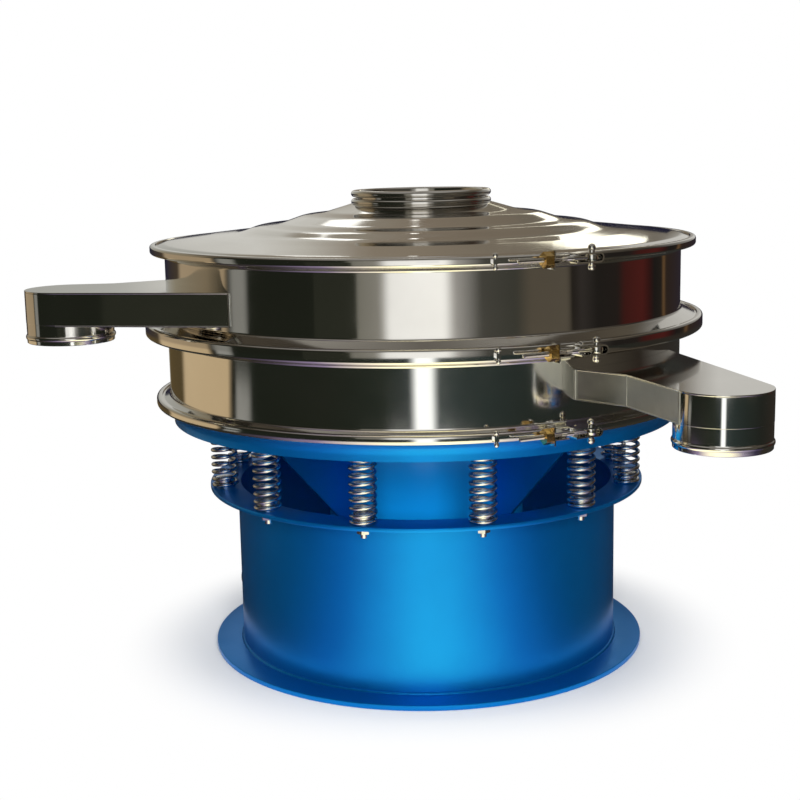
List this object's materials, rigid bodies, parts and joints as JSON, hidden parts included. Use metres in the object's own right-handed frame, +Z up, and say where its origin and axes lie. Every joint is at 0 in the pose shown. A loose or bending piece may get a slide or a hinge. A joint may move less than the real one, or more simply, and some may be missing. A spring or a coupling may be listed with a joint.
{
  "type": "vibrating sieve",
  "caption": "Round vibrating sieve: polished frames with clamp bands, side chutes and a stepped lid on a spring-borne deck over a blue drum base with an unbalance motor.",
  "frame": {"origin": "on the floor at the machine's vertical axis", "axes": "+Z up along the inlet's axis; -Y is the front, +X the right-hand side seen from the front"},
  "size_m": [1.2637, 1.2486, 0.8992],
  "materials": {
    "polished_steel": "mirror polished stainless",
    "blue_paint": "gloss blue paint",
    "grey_paint": "grey enamel",
    "zinc_steel": "bright zinc",
    "core_steel": "ground",
    "weight_iron": "as cast",
    "wire_cloth": "woven wire",
    "brass": "bright",
    "black_rubber": "moulded",
    "white_rubber": "moulded"
  },
  "bodies": {
    "base": {"base_drum": "blue_paint", "floor_flange": "blue_paint", "spring_flange": "blue_paint", "cable_grommet": "black_rubber", "support_springs": "zinc_steel", "lower_spring_studs": "zinc_steel", "lower_spring_nuts": "zinc_steel"},
    "rotor": {"motor_shaft": "core_steel", "rotor_core": "core_steel", "upper_weight": "weight_iron"},
    "lower_unbalance": {"lower_weight": "weight_iron"},
    "deck_clamp_bolt": {"deck_clamp_swing_bolt": "polished_steel"},
    "deck_clamp_wing": {"deck_clamp_nut": "brass"},
    "screen_clamp_bolt": {"screen_clamp_swing_bolt": "polished_steel"},
    "screen_clamp_wing": {"screen_clamp_nut": "brass"},
    "lid_clamp_bolt": {"lid_clamp_swing_bolt": "polished_steel"},
    "lid_clamp_wing": {"lid_clamp_nut": "brass"},
    "sieve": {"upper_spring_plugs": "zinc_steel", "deck_plate": "blue_paint", "deck_rim": "blue_paint", "motor_drum": "blue_paint", "motor_ring": "blue_paint", "gussets": "blue_paint", "lower_frame": "polished_steel", "upper_frame": "polished_steel", "collecting_dome": "polished_steel", "fines_chute": "polished_steel", "fines_chute_cover": "polished_steel", "fines_spout": "polished_steel", "oversize_chute": "polished_steel", "oversize_chute_cover": "polished_steel", "oversize_spout": "polished_steel", "deck_seal": "white_rubber", "lid_seal": "white_rubber", "screen_seal": "white_rubber", "screen_ring": "polished_steel", "screen_support": "polished_steel", "screen_mesh": "wire_cloth", "lid": "polished_steel", "inlet_collar": "polished_steel", "strap_pins": "polished_steel", "motor_housing": "grey_paint", "motor_bolts": "zinc_steel", "stator": "core_steel", "upper_end_shield": "grey_paint", "lower_end_shield": "grey_paint", "upper_bearing": "core_steel", "lower_bearing": "core_steel", "deck_clamp_band": "polished_steel", "deck_clamp_lug": "polished_steel", "deck_clamp_clevis": "polished_steel", "deck_clamp_pivot_pin": "polished_steel", "screen_clamp_band": "polished_steel", "screen_clamp_lug": "polished_steel", "screen_clamp_clevis": "polished_steel", "screen_clamp_pivot_pin": "polished_steel", "lid_clamp_band": "polished_steel", "lid_clamp_lug": "polished_steel", "lid_clamp_clevis": "polished_steel", "lid_clamp_pivot_pin": "polished_steel"}
  },
  "joints": [
    {"name": "bounce", "type": "slide", "parent": "base", "child": "sieve", "axis": [0, 0, 1], "range_m": [-0.012, 0.008], "stiffness_N_per_m": 300000, "springref_m": 0.00772, "deforming": ["support_springs"]},
    {"name": "motor_spin", "type": "hinge", "parent": "sieve", "child": "rotor", "pos_m": [0, 0, 0.3], "axis": [0, 0, 1], "continuous": true},
    {"name": "lower_weight_angle", "type": "hinge", "parent": "rotor", "child": "lower_unbalance", "pos_m": [0, 0, 0.129], "axis": [0, 0, 1], "range_deg": [0, 90]},
    {"name": "deck_clamp_swing", "type": "hinge", "parent": "sieve", "child": "deck_clamp_bolt", "pos_m": [0.27782, -0.46756, 0.5075], "axis": [0, 0, 1], "range_deg": [0, 100]},
    {"name": "deck_clamp_thread", "type": "slide", "parent": "deck_clamp_bolt", "child": "deck_clamp_wing", "axis": [-0.8949, -0.4462, 0], "range_m": [0, 0.022]},
    {"name": "screen_clamp_swing", "type": "hinge", "parent": "sieve", "child": "screen_clamp_bolt", "pos_m": [0.28451, -0.48099, 0.6475], "axis": [0, 0, 1], "range_deg": [0, 100]},
    {"name": "screen_clamp_thread", "type": "slide", "parent": "screen_clamp_bolt", "child": "screen_clamp_wing", "axis": [-0.8949, -0.4462, 0], "range_m": [0, 0.022]},
    {"name": "lid_clamp_swing", "type": "hinge", "parent": "sieve", "child": "lid_clamp_bolt", "pos_m": [0.27782, -0.46756, 0.798], "axis": [0, 0, 1], "range_deg": [0, 100]},
    {"name": "lid_clamp_thread", "type": "slide", "parent": "lid_clamp_bolt", "child": "lid_clamp_wing", "axis": [-0.8949, -0.4462, 0], "range_m": [0, 0.022]}
  ]
}
